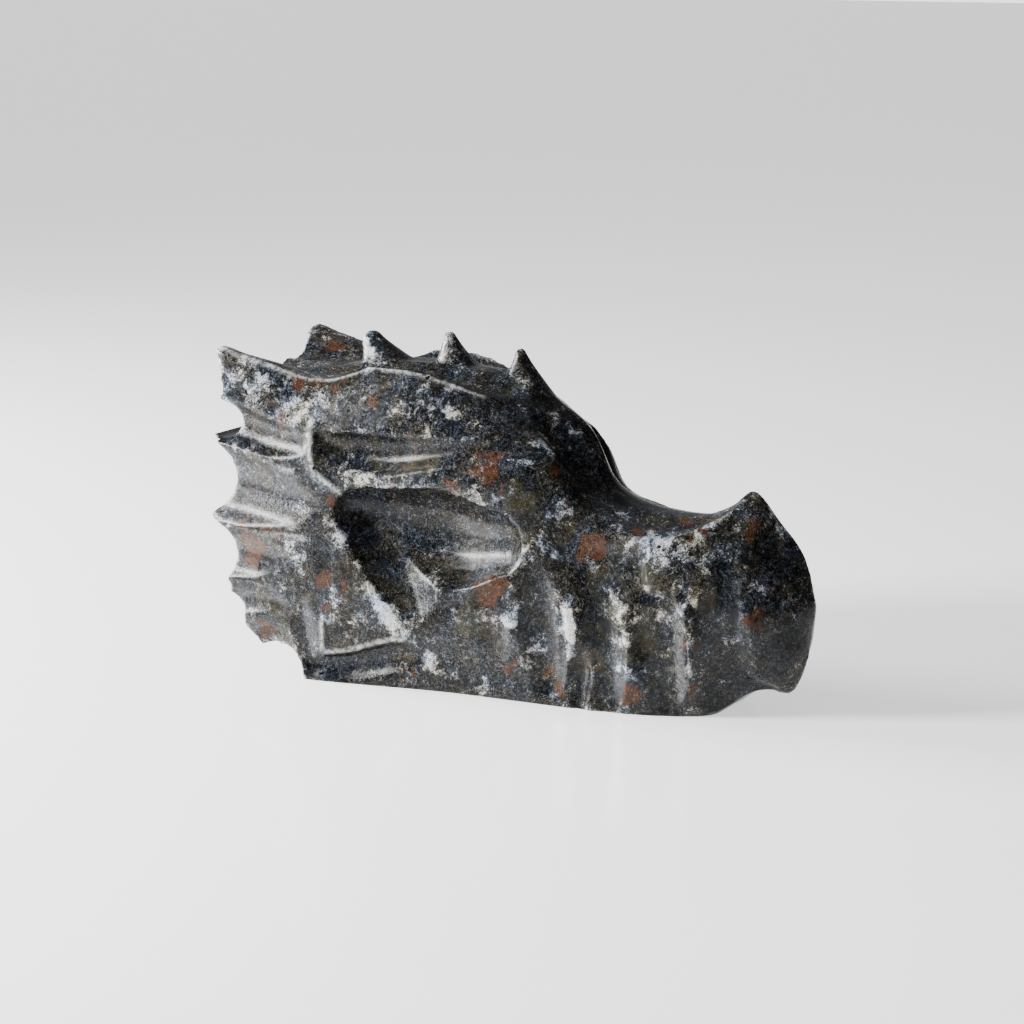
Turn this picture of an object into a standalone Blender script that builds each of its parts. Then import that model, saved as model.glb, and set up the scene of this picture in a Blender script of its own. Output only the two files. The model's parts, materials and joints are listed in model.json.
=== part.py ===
"""A dragon skull carved from one piece of fluorescent sodalite syenite and polished.

The stone is built the way a carver works it: a block with the skull's outline, three thorns
left standing on the crown, and round grinding cuts for every flute, socket, groove and tooth.
All lengths below are in millimetres. The snout points along +X, the crown along +Z, and the
origin is on the flat sawn base, under the middle of the block.
"""

import math

import bmesh
import bpy
from mathutils import Vector

MM = 0.001
OBJECT_NAME = "dragon_skull"

# Driving dimensions
REAR_X = -62.0
FRONT_X = 62.4
STATION_STEP = 1.3
SECTION_STEPS = 5
VOXEL = 0.7
POLISH_FACTOR = 0.5
POLISH_PASSES = 3
KEPT_SHARE = 0.074
TUBE_SIDES_QUARTER = 6
PATH_STEPS = 6
CAP_STEPS = 4
CAP_ANGLE = 0.48 * math.pi
THORN_STEPS = 7
THORN_LEAN = 1.3
THORN_FLARE = 1.15
SCALLOP_END_Y = 30.0
SLAB_LENGTH = 200.0
SLAB_WIDTH = 100.0
SLAB_THICKNESS = 10.0
WELD_DISTANCE = 0.01

# How a tooth hollow fades: shares of its radius at the top, and of its depth at the top and the bottom
TOOTH_TOP_RADIUS = 0.7
TOOTH_TOP_DEPTH = -0.1
TOOTH_LOW_DEPTH = 0.45

# Polished stone
STONE_COLOUR = (0.12, 0.12, 0.13, 1)
STONE_ROUGHNESS = 0.25

# The block's outline: each rail is a line along the near side of the skull, as (x, out from
# the middle plane, height). A section of the block passes through all the rails in turn.
RAILS = {
    "underside": [
        (-62, 0, -1.5), (41, 0, -1.5), (45, 0, 0.2), (48, 0, 2.3), (51, 0, 4.4), (54.3, 0, 4.8),
        (57.2, 0, 3.9), (60.1, 0, 8.4), (61.9, 0, 15), (62.4, 0, 21),
    ],
    "floor_edge": [
        (-62, 16, -1.5), (-43, 19.6, -1.5), (-5, 15.2, -1.5), (22, 14.6, -1.5), (35, 12, -1.5),
        (43, 8.6, -0.6), (47, 7, 2), (52, 4, 5), (57.2, 1.2, 4.6), (60.1, 0.8, 9),
        (62.4, 0.2, 21.2),
    ],
    "jaw": [
        (-62, 20.5, 6), (-43, 21.3, 5), (-5, 16.9, 5), (22, 16, 5), (36, 14.6, 5), (44, 12.6, 6),
        (50, 10, 9), (56.5, 5.5, 9), (60.8, 2.4, 14), (62.4, 0.3, 21.4),
    ],
    "cheek": [
        (-62, 21.5, 17), (-43, 22, 16), (-5, 19, 16), (22, 17.2, 15), (36, 15.8, 14),
        (44, 14.2, 15), (50, 11.8, 17), (56.5, 7.4, 18), (60.8, 3.4, 20), (62.4, 0.4, 21.7),
    ],
    "temple": [
        (-62, 21.5, 31), (-43, 21.8, 30), (-5, 19, 30), (8, 16.6, 29.6), (16, 14.4, 28.6),
        (24, 13.2, 27), (36, 12.8, 26), (44, 12, 26), (50, 9.8, 26), (56.5, 5.8, 25),
        (60.8, 2.6, 23.5), (62.4, 0.3, 22),
    ],
    "brow": [
        (-62, 20.8, 46), (-43, 21, 45), (-5, 18.8, 43.5), (5, 16.8, 44), (9, 15, 44.1),
        (12.3, 13.2, 44), (13.8, 12.4, 43), (15.2, 12.1, 40.3), (17, 12, 37.8), (19.5, 12.2, 36.4),
        (24, 12.2, 35), (30, 12, 33.7), (36, 11.4, 33.5), (40, 9.4, 34.6), (44, 7.2, 36.6),
        (48.7, 3.4, 39.5), (54.7, 3, 33), (60.1, 1.4, 27.6), (62.4, 0.2, 22.2),
    ],
    "horn_side": [
        (-62, 20.8, 57), (-50, 20, 56), (-36, 19, 54), (-20, 17.6, 54), (-5, 15.6, 52),
        (5, 13.8, 50.2), (9, 12.8, 49.6), (12, 11.3, 48.2), (13.6, 9.6, 46.2), (15.4, 7.8, 43.4),
        (17.4, 7.2, 41), (19.6, 7, 39.2), (24, 7.2, 37.2), (30, 7.2, 36), (36, 6.8, 35.6),
        (40, 5.8, 36.1), (45, 4, 38.6), (48.7, 1.9, 41.4), (54.9, 1.8, 35.7), (60.3, 0.9, 29.4),
        (62.4, 0.15, 22.3),
    ],
    "crest_side": [
        (-62, 19.6, 62.8), (-60.9, 19.7, 64.5), (-59.4, 19.8, 65.2), (-56, 19.6, 64.3),
        (-48, 18.5, 62.6), (-42, 17.2, 60.6), (-37, 16.2, 60), (-31, 14.8, 61.5),
        (-24.5, 13.4, 63.9), (-18, 12.9, 63.9), (-14, 12.3, 63.1), (-10, 11.6, 61.4),
        (-4, 10.2, 58.8), (4, 7.8, 55.9), (9, 6.2, 53.8), (12.3, 4.6, 51.8), (14, 3.9, 49.9),
        (16, 3.2, 46.7), (18, 2.7, 43.4), (20, 2.7, 41), (24, 3, 38.9), (30, 3, 37.6),
        (36, 2.9, 37.2), (40, 2.6, 37.4), (45.2, 1.7, 39.8), (48.7, 0.8, 42.8), (55, 0.8, 36.8),
        (60.4, 0.4, 30.2), (62.4, 0.12, 22.35),
    ],
    "crest": [
        (-62, 17.6, 63.6), (-60.9, 17.6, 65.4), (-59.4, 17.6, 66.1), (-56, 17.4, 65.1),
        (-48, 16.4, 63.2), (-42, 15.2, 61.2), (-37, 14.3, 60.6), (-31, 13, 62.1),
        (-24.5, 11.8, 64.5), (-18, 11.4, 64.5), (-14, 10.8, 63.7), (-10, 10.2, 61.9),
        (-4, 9, 59.3), (4, 6.9, 56.5), (9, 5.5, 54.2), (12.3, 4.1, 52.1), (14, 3.5, 50.1),
        (16, 2.9, 46.8), (18, 2.4, 43.5), (20, 2.3, 41.1), (24, 2.5, 39), (30, 2.5, 37.7),
        (36, 2.4, 37.3), (40, 2.1, 37.5), (45.2, 1.3, 39.9), (48.7, 0.5, 42.9), (55, 0.5, 37),
        (60.4, 0.3, 30.3), (62.4, 0.1, 22.4),
    ],
    "crown": [
        (-62, 0, 58.5), (-50, 0, 59.5), (-42, 0, 61.2), (-36, 0, 62.6), (-24, 0, 63), (-6, 0, 63),
        (0, 0, 62.2), (3.4, 0, 60.4), (7.4, 0, 57.3), (12.9, 0, 53.8), (16.5, 0, 49.5),
        (18, 0, 44.8), (19.8, 0, 42), (22, 0, 40.4), (25, 0, 39.1), (31.9, 0, 37.8), (38, 0, 37.6),
        (45.2, 0, 40.2), (49, 0, 43.4), (54.7, 0, 37.6), (60.3, 0, 30.6), (62.4, 0, 22.5),
    ],
}

# Thorns on the crown: the foot and the tip as (x, height), and the radius at each.
CROWN_THORNS = {
    "rear_thorn": ((-29.7, 54), (-35.2, 68.7), 11.6, 2.3),
    "middle_thorn": ((-15.2, 54), (-17.3, 69.6), 10.7, 1.4),
    "front_thorn": ((-0.3, 53.5), (-1.3, 67.3), 9.2, 1.2),
}

# The scalloped rear edge: round bars right across the block, as (x, height, radius).
REAR_SCALLOPS = {
    "horn_back": (-73.2, 58, 14.6),
    "under_horn": (-59.2, 51.3, 3.9),
    "between_spikes": (-65.4, 39.9, 8.6),
    "under_lower_spike": (-63.5, 23.6, 7.6),
    "rim_end": (-67.2, 17.5, 10),
    "neck_upper": (-58.4, 11, 5),
    "neck_rear": (-58.2, 2.6, 8.6),
    "neck_foot": (-46.4, 0.2, 6.6),
}

# Flutes ground into the near side, and mirrored to the far side. A flute is a list of
# (x, height, wheel radius, depth of cut) along the way that the wheel moved.
FLUTES = {
    "under_horn": [
        (-66, 51.6, 5.2, 3), (-56, 50.6, 5.2, 2.7), (-48, 48.8, 5, 2), (-41, 47.8, 4.6, 0.8),
        (-37, 47, 4.2, -0.3),
    ],
    "between_spikes": [
        (-68, 38.4, 13, 4), (-56, 37.9, 13, 3), (-46, 36.6, 13, 1.6), (-38, 35.8, 13, 0.5),
        (-33, 35, 13, -0.4),
    ],
    "under_spike": [
        (-68, 25, 10, 3), (-56, 24.6, 10, 1.8), (-48, 24.4, 10, 0.9), (-41, 24, 10, 0.2),
        (-37, 24, 10, -0.4),
    ],
    "rim_groove": [(-62, 15.4, 6, 1.4), (-55, 15.4, 6, 1.2), (-47, 15.6, 6, 0.6), (-42, 15.6, 6, -0.3)],
    "rim_groove_low": [(-50, 6.6, 3.4, 0.9), (-45, 8, 3.4, 0.9), (-42.5, 5, 3, 0.7)],
    "hinge_hollow": [
        (-39.6, 19, 6, -0.2), (-39.2, 12, 6, 0.7), (-38.6, 6, 5, 0.9), (-37.4, 2, 4, 0.5),
    ],
    "jaw_line": [
        (-37, 3, 3, 1), (-33, 3.2, 4.4, 1.3), (-28.5, 4.2, 5, 1.3), (-24, 5.6, 5, 1.3),
        (-19, 6.7, 5, 1.2), (-13, 7.4, 5, 1), (-7, 8, 5, 0.8), (-2, 9.8, 5, 0.6),
        (4, 11, 5, 0.4), (9, 11, 5, 0.1), (13, 10, 5, -0.3),
    ],
    "eye_socket": [(-24, 34, 7, 6.2), (-14, 32, 10.2, 7.4), (-6, 31.2, 10.4, 6.8), (2, 31.4, 8, 4)],
    "socket_top_corner": [(-28.6, 36.4, 2.8, 3.2), (-24, 35.6, 4, 4.6)],
    "socket_edge": [
        (-27.4, 35, 5, 5.2), (-22.8, 31.4, 7, 5.8), (-18.8, 27, 8.6, 5), (-15.8, 22.6, 9.6, 3.2),
        (-13.8, 18.6, 10, 1.3), (-12.4, 15.4, 10, -0.2),
    ],
    "cheek_hollow": [(-14, 17, 9, -0.2), (-8, 18.4, 9, 0.6), (0, 19.8, 9, 0.6), (7, 21.4, 9, -0.2)],
    "horn_groove": [
        (-38, 51, 1.6, 0.2), (-35, 49.2, 2.4, 1.6), (-32, 47.8, 3.6, 2.7), (-27, 47.2, 4.2, 3.2),
        (-21, 47.2, 4.2, 2.9), (-13, 48, 3.8, 1.8), (-4, 49, 3.2, 1.1), (6, 49.3, 2.6, 0.8),
        (12, 48, 2.2, 0.6),
    ],
    "muzzle_hollow": [
        (18, 31.5, 13, -0.3), (25, 30.6, 14, 0.6), (31, 29.6, 14, 0.9), (38, 29.4, 13, 1),
        (43, 31, 8, 0.8), (46.4, 35, 4, 0.2),
    ],
    "lip_recess": [
        (42.6, 2.2, 2.4, 0.4), (46.5, 5.4, 3, 1.5), (51, 6.4, 3, 1.7), (54.6, 5.2, 2.4, 1),
    ],
}

# Hollows between the teeth, as (top x, bottom x, top height, bottom height, radius, depth).
TOOTH_HOLLOWS = [
    (3.2, 2.4, 22, 9, 8, 0.9),
    (11.6, 13.6, 30, 5, 7, 2.4),
    (20.9, 19.8, 14, 1, 2.8, 2.0),
    (24.2, 26.4, 27, 2, 7, 2.4),
    (28.2, 27.2, 19, 6, 2.6, 1.6),
    (33.8, 33.4, 22, 10, 2.8, 1.7),
    (37.2, 38.8, 27, 3, 6.6, 2.4),
    (45.8, 47.0, 28, 10, 3.2, 2.2),
    (49.8, 50.8, 31, 7, 8, 1.6),
]

# Cuts along the top of the skull, as (x, y, height, radius).
FREE_CUTS = {
    "forehead_flute": [
        (3.6, -9, 61.6, 3.2), (7, -8.7, 58.8, 3.9), (11, -8, 55.2, 4.6), (15.2, -7.2, 50, 4.6),
        (17.9, -6.6, 46.5, 4.4), (19.4, -6.4, 44.2, 4.2), (22.4, -6.2, 42.4, 4),
        (27, -6, 41.6, 3.6),
    ],
    "crown_valley": [
        (-70, -7, 68.6, 8), (-57, -7.4, 68, 7.9), (-49, -8.2, 67.3, 7.6), (-40, -8.7, 66.4, 6.5),
        (-32, -8.5, 66, 5.6), (-22, -8.3, 65.8, 5.5), (-12, -8, 65.2, 5.3), (-4, -8, 63.6, 4.8),
        (2, -7.6, 62, 4),
    ],
}
NECK_HOLLOW = [(-66, 0, 8, 11), (-67, 0, 24, 15), (-67.5, 0, 38, 14)]


def scaled(points):
    return [Vector(p) * MM for p in points]


def slope(left, here, right, axis):
    """The slope of a rail at a point, flat where the rail turns so that it never overshoots."""
    before = (here[axis] - left[axis]) / (here[0] - left[0])
    after = (right[axis] - here[axis]) / (right[0] - here[0])
    if before * after <= 0:
        return 0.0
    return 2 * before * after / (before + after)


def rail_at(rail, x):
    """The rail's (out, height) at x, by a cubic between the two points beside it."""
    last = len(rail) - 1
    i = max(k for k in range(last) if rail[k][0] <= x or k == 0)
    a, b = rail[i], rail[i + 1]
    width = b[0] - a[0]
    t = min(max((x - a[0]) / width, 0.0), 1.0)
    found = []
    for axis in (1, 2):
        straight = (b[axis] - a[axis]) / width
        start = slope(rail[i - 1], a, b, axis) if i > 0 else straight
        end = slope(a, b, rail[i + 2], axis) if i + 1 < last else straight
        found.append(
            a[axis] * (1 + 2 * t) * (1 - t) ** 2
            + b[axis] * t * t * (3 - 2 * t)
            + width * t * (1 - t) * (start * (1 - t) - end * t)
        )
    return found


def catmull(p, q, r, s, t):
    bend = (2 * p - 5 * q + 4 * r - s) * t * t + (3 * q - p - 3 * r + s) * t**3
    return 0.5 * (2 * q + (r - p) * t + bend)


def half_section(x):
    """The block's outline at x as (out, height): curved up to the crest, then straight to the crown."""
    knots = [Vector(rail_at(rail, x)) for rail in RAILS.values()]
    crest, crown = knots[-2:]
    below = Vector((-knots[1].x, knots[1].y))
    chain = [below, *knots[:-1], crest * 2 - knots[-3]]
    half = []
    for i in range(1, len(chain) - 2):
        for step in range(SECTION_STEPS):
            half.append(catmull(*chain[i - 1 : i + 3], step / SECTION_STEPS))
    half += [crest.lerp(crown, step / SECTION_STEPS) for step in range(SECTION_STEPS)]
    return [*half, crown]


def section(x):
    """The closed outline of the block at x, up the near side and down the far side."""
    half = half_section(x)
    near = [(x, -p.x, p.y) for p in half]
    far = [(x, p.x, p.y) for p in reversed(half[1:-1])]
    return scaled(near + far)


def side_point(x, height):
    """Where the block's near side has this height, and which way it faces there."""
    half = half_section(min(max(x, REAR_X), FRONT_X))
    for a, b in zip(half, half[1:]):
        if a.y <= height <= b.y:
            here = a.lerp(b, (height - a.y) / max(b.y - a.y, 1e-6))
            along = (b - a).normalized()
            return Vector((x, -here.x, height)), Vector((0, -along.y, -along.x))
    return Vector((x, -half[1].x, height)), Vector((0, -1, 0))


def flute_path(flute):
    """The wheel's centre and radius along a flute: as deep in the block's side as the flute asks."""
    path = []
    for x, height, radius, depth in flute:
        point, outward = side_point(x, height)
        centre = point + outward * (radius - depth)
        path.append((*centre, radius))
    return path


def link(obj, collection):
    collection.objects.link(obj)
    return obj


def block(collection):
    """The skull's outline as one closed loft of sections along X."""
    count = round((FRONT_X - REAR_X) / STATION_STEP)
    stations = [REAR_X + (FRONT_X - REAR_X) * i / count for i in range(count + 1)]
    rings = [section(x) for x in stations]
    size = len(rings[0])
    points = [p for ring in rings for p in ring]
    faces = [tuple(reversed(range(size)))]
    for r in range(count):
        a, b = r * size, (r + 1) * size
        for k in range(size):
            n = (k + 1) % size
            faces.append((a + k, a + n, b + n, b + k))
    faces.append(tuple(count * size + k for k in range(size)))
    mesh = bpy.data.meshes.new(OBJECT_NAME)
    mesh.from_pydata(points, [], faces)
    return link(bpy.data.objects.new(OBJECT_NAME, mesh), collection)


def rounded_path(path):
    """A smooth path through the points, its radius running down to nearly nothing at both ends."""
    knots = [path[0], *path, path[-1]]
    smooth = []
    for i in range(1, len(knots) - 2):
        last = i == len(knots) - 3
        for step in range(PATH_STEPS + last):
            near = knots[i - 1 : i + 3]
            smooth.append(tuple(catmull(*values, step / PATH_STEPS) for values in zip(*near)))
    return cap(smooth[0], smooth[1])[::-1] + smooth + cap(smooth[-1], smooth[-2])


def cap(end, inner):
    """The points that round off one end of a path."""
    direction = (Vector(end[:3]) - Vector(inner[:3])).normalized()
    made = []
    for k in range(1, CAP_STEPS + 1):
        angle = CAP_ANGLE * k / CAP_STEPS
        centre = Vector(end[:3]) + direction * end[3] * math.sin(angle)
        made.append((*centre, end[3] * math.cos(angle)))
    return made


def tube(name, path, collection):
    """A round bar with rounded ends through (x, y, z, radius) points, as a closed mesh."""
    curve = bpy.data.curves.new(name, "CURVE")
    curve.dimensions = "3D"
    curve.bevel_depth = MM
    curve.bevel_resolution = TUBE_SIDES_QUARTER
    curve.use_fill_caps = True
    spline = curve.splines.new("POLY")
    points = rounded_path(path)
    spline.points.add(len(points) - 1)
    for point, (x, y, z, radius) in zip(spline.points, points):
        point.co = (x * MM, y * MM, z * MM, 1)
        point.radius = radius
    guide = bpy.data.objects.new(name, curve)
    bpy.context.scene.collection.objects.link(guide)
    bpy.context.view_layer.update()
    graph = bpy.context.evaluated_depsgraph_get()
    mesh = bpy.data.meshes.new_from_object(guide.evaluated_get(graph))
    bpy.data.objects.remove(guide)
    close_mesh(mesh)
    return link(bpy.data.objects.new(name, mesh), collection)


def close_mesh(mesh):
    shape = bmesh.new()
    shape.from_mesh(mesh)
    bmesh.ops.remove_doubles(shape, verts=shape.verts, dist=WELD_DISTANCE * MM)
    bmesh.ops.recalc_face_normals(shape, faces=shape.faces)
    shape.to_mesh(mesh)
    shape.free()


def both_sides(name, path, collection):
    tube(name + "_near", path, collection)
    tube(name + "_far", [(x, -y, z, radius) for x, y, z, radius in path], collection)


def thorn_path(foot, tip, foot_radius, tip_radius):
    """A thorn that flares towards its foot and leans back."""
    path = []
    for k in range(THORN_STEPS + 1):
        t = k / THORN_STEPS
        x = foot[0] + (tip[0] - foot[0]) * t**THORN_LEAN
        z = foot[1] + (tip[1] - foot[1] - tip_radius) * t
        radius = tip_radius + (foot_radius - tip_radius) * (1 - t) ** THORN_FLARE
        path.append((x, 0.0, z, radius))
    return path


def polished_stone():
    """Dark blue-grey stone with a polish."""
    material = bpy.data.materials.new("polished_stone")
    material.use_nodes = True
    shader = material.node_tree.nodes["Principled BSDF"]
    shader.inputs["Base Color"].default_value = STONE_COLOUR
    shader.inputs["Roughness"].default_value = STONE_ROUGHNESS
    shader.inputs["Metallic"].default_value = 0
    return material


def helpers(name, parent):
    made = bpy.data.collections.new(name)
    parent.children.link(made)
    return made


def saw_slab(collection):
    """The slab of stone that the saw takes off below the base."""
    bpy.ops.mesh.primitive_cube_add(size=1, location=(0, 0, -SLAB_THICKNESS / 2 * MM))
    slab = bpy.context.object
    slab.name = "saw_slab"
    slab.dimensions = (SLAB_LENGTH * MM, SLAB_WIDTH * MM, SLAB_THICKNESS * MM)
    slab.hide_render = True
    slab.display_type = "WIRE"
    for home in list(slab.users_collection):
        home.objects.unlink(slab)
    link(slab, collection)


def boolean(target, name, operation, collection):
    modifier = target.modifiers.new(name, "BOOLEAN")
    modifier.operation = operation
    modifier.solver = "EXACT"
    modifier.operand_type = "COLLECTION"
    modifier.collection = collection


def build():
    for obj in list(bpy.data.objects):
        bpy.data.objects.remove(obj)
    scene = bpy.context.scene.collection
    saw = helpers("saw", scene)
    saw_slab(saw)
    skull = block(helpers("carved_dragon_skull", scene))
    skull.data.materials.append(polished_stone())
    thorns = helpers("thorns", scene)
    cuts = helpers("cuts", scene)
    for name, shape in CROWN_THORNS.items():
        tube(name, thorn_path(*shape), thorns)
    for name, (x, height, radius) in REAR_SCALLOPS.items():
        bar = [(x, -SCALLOP_END_Y, height, radius), (x, SCALLOP_END_Y, height, radius)]
        tube(name + "_scallop", bar, cuts)
    for name, flute in FLUTES.items():
        both_sides(name + "_flute", flute_path(flute), cuts)
    for index, (top_x, low_x, top, low, radius, depth) in enumerate(TOOTH_HOLLOWS):
        groove = [
            (top_x, top, radius * TOOTH_TOP_RADIUS, depth * TOOTH_TOP_DEPTH),
            ((top_x + low_x) / 2, (top + low) / 2, radius, depth),
            (low_x, low, radius, depth * TOOTH_LOW_DEPTH),
        ]
        both_sides(f"tooth_hollow_{index}", flute_path(groove), cuts)
    for name, path in FREE_CUTS.items():
        both_sides(name, path, cuts)
    tube("neck_hollow", NECK_HOLLOW, cuts)
    for helper in (*thorns.objects, *cuts.objects):
        helper.hide_render = True
        helper.display_type = "WIRE"
    boolean(skull, "thorns", "UNION", thorns)
    boolean(skull, "cuts", "DIFFERENCE", cuts)
    remesh = skull.modifiers.new("even_surface", "REMESH")
    remesh.mode = "VOXEL"
    remesh.voxel_size = VOXEL * MM
    remesh.use_smooth_shade = True
    polish = skull.modifiers.new("polish", "SMOOTH")
    polish.factor = POLISH_FACTOR
    polish.iterations = POLISH_PASSES
    fewer = skull.modifiers.new("fewer_faces", "DECIMATE")
    fewer.ratio = KEPT_SHARE
    boolean(skull, "sawn_base", "DIFFERENCE", saw)
    return skull


build()
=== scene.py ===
"""The look of a dragon skull carved from one piece of fluorescent sodalite syenite.

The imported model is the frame. The stone is carved again at a finer grain, in the same place, and
gets its speckled polished material. Lengths below are in millimetres.
"""

import json
import math
from types import SimpleNamespace

import bmesh
import bpy
import numpy as np
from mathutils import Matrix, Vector, noise

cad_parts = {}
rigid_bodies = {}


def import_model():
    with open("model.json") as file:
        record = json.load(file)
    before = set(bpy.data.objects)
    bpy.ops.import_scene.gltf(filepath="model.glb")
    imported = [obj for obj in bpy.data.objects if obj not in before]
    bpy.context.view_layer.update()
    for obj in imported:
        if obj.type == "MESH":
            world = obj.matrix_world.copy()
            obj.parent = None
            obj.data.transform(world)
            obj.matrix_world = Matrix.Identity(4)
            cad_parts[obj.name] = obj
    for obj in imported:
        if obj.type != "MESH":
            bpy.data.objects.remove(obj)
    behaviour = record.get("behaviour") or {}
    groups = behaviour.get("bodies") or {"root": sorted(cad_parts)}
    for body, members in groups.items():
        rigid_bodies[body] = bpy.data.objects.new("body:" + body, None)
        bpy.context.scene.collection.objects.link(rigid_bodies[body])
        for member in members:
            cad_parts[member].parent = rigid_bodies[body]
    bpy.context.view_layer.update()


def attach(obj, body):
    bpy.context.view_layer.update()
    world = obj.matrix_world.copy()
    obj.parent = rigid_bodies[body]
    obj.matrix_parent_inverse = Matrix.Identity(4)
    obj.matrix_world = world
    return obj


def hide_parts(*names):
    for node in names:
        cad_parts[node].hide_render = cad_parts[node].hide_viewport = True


for startup in list(bpy.data.objects):
    bpy.data.objects.remove(startup)
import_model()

MM = 0.001
OBJECT_NAME = "dragon_skull"

# Driving dimensions
REAR_X = -62.0
FRONT_X = 62.4
STATION_STEP = 1.3
SECTION_STEPS = 5
TUBE_SIDES_QUARTER = 6
PATH_STEPS = 6
CAP_STEPS = 4
CAP_ANGLE = 0.48 * math.pi
THORN_STEPS = 7
THORN_LEAN = 1.3
THORN_FLARE = 1.15
SCALLOP_END_Y = 30.0
SLAB_LENGTH = 200.0
SLAB_WIDTH = 100.0
SLAB_THICKNESS = 10.0
WELD_DISTANCE = 0.01

# How a tooth hollow fades: shares of its radius at the top, and of its depth at the top and the bottom
TOOTH_TOP_RADIUS = 0.7
TOOTH_TOP_DEPTH = -0.1
TOOTH_LOW_DEPTH = 0.45

# The block's outline: each rail is a line along the near side of the skull, as (x, out from
# the middle plane, height). A section of the block passes through all the rails in turn.
RAILS = {
    "underside": [
        (-62, 0, -1.5), (41, 0, -1.5), (45, 0, 0.2), (48, 0, 2.3), (51, 0, 4.4), (54.3, 0, 4.8),
        (57.2, 0, 3.9), (60.1, 0, 8.4), (61.9, 0, 15), (62.4, 0, 21),
    ],
    "floor_edge": [
        (-62, 16, -1.5), (-43, 19.6, -1.5), (-5, 15.2, -1.5), (22, 14.6, -1.5), (35, 12, -1.5),
        (43, 8.6, -0.6), (47, 7, 2), (52, 4, 5), (57.2, 1.2, 4.6), (60.1, 0.8, 9),
        (62.4, 0.2, 21.2),
    ],
    "jaw": [
        (-62, 20.5, 6), (-43, 21.3, 5), (-5, 16.9, 5), (22, 16, 5), (36, 14.6, 5), (44, 12.6, 6),
        (50, 10, 9), (56.5, 5.5, 9), (60.8, 2.4, 14), (62.4, 0.3, 21.4),
    ],
    "cheek": [
        (-62, 21.5, 17), (-43, 22, 16), (-5, 19, 16), (22, 17.2, 15), (36, 15.8, 14),
        (44, 14.2, 15), (50, 11.8, 17), (56.5, 7.4, 18), (60.8, 3.4, 20), (62.4, 0.4, 21.7),
    ],
    "temple": [
        (-62, 21.5, 31), (-43, 21.8, 30), (-5, 19, 30), (8, 16.6, 29.6), (16, 14.4, 28.6),
        (24, 13.2, 27), (36, 12.8, 26), (44, 12, 26), (50, 9.8, 26), (56.5, 5.8, 25),
        (60.8, 2.6, 23.5), (62.4, 0.3, 22),
    ],
    "brow": [
        (-62, 20.8, 46), (-43, 21, 45), (-5, 18.8, 43.5), (5, 16.8, 44), (9, 15, 44.1),
        (12.3, 13.2, 44), (13.8, 12.4, 43), (15.2, 12.1, 40.3), (17, 12, 37.8), (19.5, 12.2, 36.4),
        (24, 12.2, 35), (30, 12, 33.7), (36, 11.4, 33.5), (40, 9.4, 34.6), (44, 7.2, 36.6),
        (48.7, 3.4, 39.5), (54.7, 3, 33), (60.1, 1.4, 27.6), (62.4, 0.2, 22.2),
    ],
    "horn_side": [
        (-62, 20.8, 57), (-50, 20, 56), (-36, 19, 54), (-20, 17.6, 54), (-5, 15.6, 52),
        (5, 13.8, 50.2), (9, 12.8, 49.6), (12, 11.3, 48.2), (13.6, 9.6, 46.2), (15.4, 7.8, 43.4),
        (17.4, 7.2, 41), (19.6, 7, 39.2), (24, 7.2, 37.2), (30, 7.2, 36), (36, 6.8, 35.6),
        (40, 5.8, 36.1), (45, 4, 38.6), (48.7, 1.9, 41.4), (54.9, 1.8, 35.7), (60.3, 0.9, 29.4),
        (62.4, 0.15, 22.3),
    ],
    "crest_side": [
        (-62, 19.6, 62.8), (-60.9, 19.7, 64.5), (-59.4, 19.8, 65.2), (-56, 19.6, 64.3),
        (-48, 18.5, 62.6), (-42, 17.2, 60.6), (-37, 16.2, 60), (-31, 14.8, 61.5),
        (-24.5, 13.4, 63.9), (-18, 12.9, 63.9), (-14, 12.3, 63.1), (-10, 11.6, 61.4),
        (-4, 10.2, 58.8), (4, 7.8, 55.9), (9, 6.2, 53.8), (12.3, 4.6, 51.8), (14, 3.9, 49.9),
        (16, 3.2, 46.7), (18, 2.7, 43.4), (20, 2.7, 41), (24, 3, 38.9), (30, 3, 37.6),
        (36, 2.9, 37.2), (40, 2.6, 37.4), (45.2, 1.7, 39.8), (48.7, 0.8, 42.8), (55, 0.8, 36.8),
        (60.4, 0.4, 30.2), (62.4, 0.12, 22.35),
    ],
    "crest": [
        (-62, 17.6, 63.6), (-60.9, 17.6, 65.4), (-59.4, 17.6, 66.1), (-56, 17.4, 65.1),
        (-48, 16.4, 63.2), (-42, 15.2, 61.2), (-37, 14.3, 60.6), (-31, 13, 62.1),
        (-24.5, 11.8, 64.5), (-18, 11.4, 64.5), (-14, 10.8, 63.7), (-10, 10.2, 61.9),
        (-4, 9, 59.3), (4, 6.9, 56.5), (9, 5.5, 54.2), (12.3, 4.1, 52.1), (14, 3.5, 50.1),
        (16, 2.9, 46.8), (18, 2.4, 43.5), (20, 2.3, 41.1), (24, 2.5, 39), (30, 2.5, 37.7),
        (36, 2.4, 37.3), (40, 2.1, 37.5), (45.2, 1.3, 39.9), (48.7, 0.5, 42.9), (55, 0.5, 37),
        (60.4, 0.3, 30.3), (62.4, 0.1, 22.4),
    ],
    "crown": [
        (-62, 0, 58.5), (-50, 0, 59.5), (-42, 0, 61.2), (-36, 0, 62.6), (-24, 0, 63), (-6, 0, 63),
        (0, 0, 62.2), (3.4, 0, 60.4), (7.4, 0, 57.3), (12.9, 0, 53.8), (16.5, 0, 49.5),
        (18, 0, 44.8), (19.8, 0, 42), (22, 0, 40.4), (25, 0, 39.1), (31.9, 0, 37.8), (38, 0, 37.6),
        (45.2, 0, 40.2), (49, 0, 43.4), (54.7, 0, 37.6), (60.3, 0, 30.6), (62.4, 0, 22.5),
    ],
}

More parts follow.
